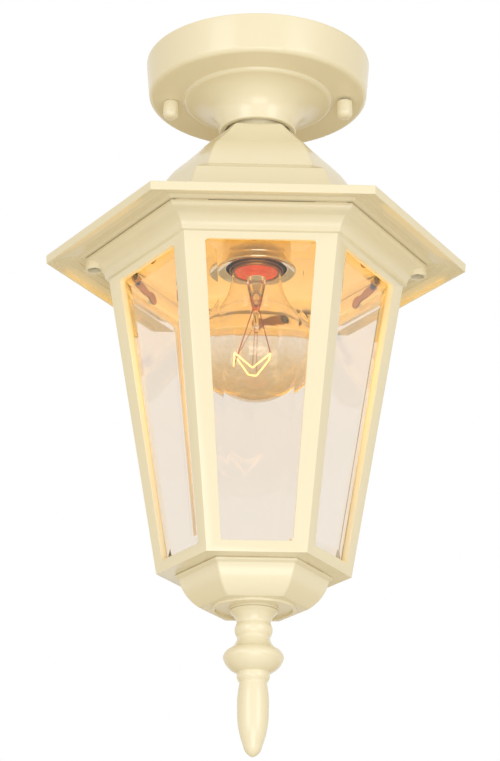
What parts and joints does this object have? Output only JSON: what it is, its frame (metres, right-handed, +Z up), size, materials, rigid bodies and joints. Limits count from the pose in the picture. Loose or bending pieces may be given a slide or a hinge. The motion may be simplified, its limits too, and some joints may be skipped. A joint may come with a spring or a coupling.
{
  "type": "porch ceiling lantern",
  "caption": "Six-sided hanging porch lantern with a bell canopy, flared roof, tapered glazed cage held by turn clips, screw-in bulb and a turned finial",
  "frame": {"origin": "on the ceiling, at the centre of the canopy's open rim", "axes": "+Z up; -Y towards the flat side seen in the picture, +X to its right; left and right corners of the lantern lie on X"},
  "size_m": [0.2334, 0.2022, 0.3999],
  "materials": {
    "enamel": "gloss cream enamel",
    "zinc_steel": "zinc plated",
    "polished_metal": "polished",
    "porcelain": "glazed",
    "brass": "plain",
    "clear_glass": "clear, bevelled",
    "bulb_glass": "clear",
    "tungsten": "drawn wire",
    "black_insulator": "fused glass",
    "white_plastic": "moulded",
    "lead_brown": "sleeved lead",
    "lead_blue": "sleeved lead"
  },
  "bodies": {
    "hanger": {"canopy": "enamel", "mounting_bar": "zinc_steel", "canopy_studs": "zinc_steel", "stud_locknuts": "zinc_steel", "hanging_nipple": "zinc_steel", "top_washer": "zinc_steel", "roof_washer": "zinc_steel", "top_nut": "zinc_steel", "roof_nut": "zinc_steel", "roof": "enamel", "holder_cap": "polished_metal", "holder_skirt": "polished_metal", "holder_core": "porcelain", "screw_shell": "brass", "centre_contact": "brass", "holder_terminals": "brass", "terminal_block": "white_plastic", "lead_live": "lead_brown", "lead_neutral": "lead_blue"},
    "cage": {"cage": "enamel", "glass_back": "clear_glass", "glass_back_left": "clear_glass", "glass_front_left": "clear_glass", "glass_front": "clear_glass", "glass_front_right": "clear_glass", "glass_back_right": "clear_glass", "clip_screws": "brass", "bottom_pan": "enamel", "finial_stud": "zinc_steel", "finial_washer": "zinc_steel", "finial_nut": "zinc_steel", "roof_screws": "zinc_steel"},
    "bulb": {"bulb_cap": "brass", "bulb_contact": "zinc_steel", "bulb_filament": "tungsten", "bulb_glass": "bulb_glass", "bulb_insulator": "black_insulator", "bulb_stem": "bulb_glass", "bulb_support_wires": "tungsten"},
    "finial": {"finial": "enamel"},
    "cap_nut_left_body": {"cap_nut_left": "enamel"},
    "cap_nut_right_body": {"cap_nut_right": "enamel"},
    "clip_back_body": {"clip_back": "brass"},
    "clip_back_left_body": {"clip_back_left": "brass"},
    "clip_front_left_body": {"clip_front_left": "brass"},
    "clip_front_body": {"clip_front": "brass"},
    "clip_front_right_body": {"clip_front_right": "brass"},
    "clip_back_right_body": {"clip_back_right": "brass"}
  },
  "joints": [
    {"name": "cage_drop", "type": "slide", "parent": "hanger", "child": "cage", "axis": [0, 0, -1], "range_m": [0, 0.1]},
    {"name": "bulb_unscrew", "type": "slide", "parent": "hanger", "child": "bulb", "axis": [0, 0, -1], "range_m": [0, 0.03]},
    {"name": "finial_turn", "type": "hinge", "parent": "cage", "child": "finial", "pos_m": [0, 0, -0.33], "axis": [0, 0, 1], "continuous": true},
    {"name": "cap_nut_left_turn", "type": "hinge", "parent": "hanger", "child": "cap_nut_left_body", "pos_m": [-0.0493, 0.0038, -0.026], "axis": [0, 0, 1], "continuous": true},
    {"name": "cap_nut_right_turn", "type": "hinge", "parent": "hanger", "child": "cap_nut_right_body", "pos_m": [0.0493, -0.0038, -0.026], "axis": [0, 0, 1], "continuous": true},
    {"name": "clip_back_turn", "type": "hinge", "parent": "cage", "child": "clip_back_body", "pos_m": [0.0205, 0.06396, -0.12855], "axis": [0, -0.9886, 0.1506], "range_deg": [-20, 65]},
    {"name": "clip_back_left_turn", "type": "hinge", "parent": "cage", "child": "clip_back_left_body", "pos_m": [-0.06564, 0.01422, -0.12855], "axis": [-0.8562, 0.4943, -0.1506], "range_deg": [-20, 65]},
    {"name": "clip_front_left_turn", "type": "hinge", "parent": "cage", "child": "clip_front_left_body", "pos_m": [-0.06564, -0.01422, -0.12855], "axis": [0.8562, 0.4943, 0.1506], "range_deg": [-20, 65]},
    {"name": "clip_front_turn", "type": "hinge", "parent": "cage", "child": "clip_front_body", "pos_m": [-0.0205, -0.06396, -0.12855], "axis": [0, 0.9886, 0.1506], "range_deg": [-20, 65]},
    {"name": "clip_front_right_turn", "type": "hinge", "parent": "cage", "child": "clip_front_right_body", "pos_m": [0.06564, -0.01422, -0.12855], "axis": [0.8562, -0.4943, -0.1506], "range_deg": [-20, 65]},
    {"name": "clip_back_right_turn", "type": "hinge", "parent": "cage", "child": "clip_back_right_body", "pos_m": [0.06564, 0.01422, -0.12855], "axis": [-0.8562, -0.4943, 0.1506], "range_deg": [-20, 65]}
  ]
}
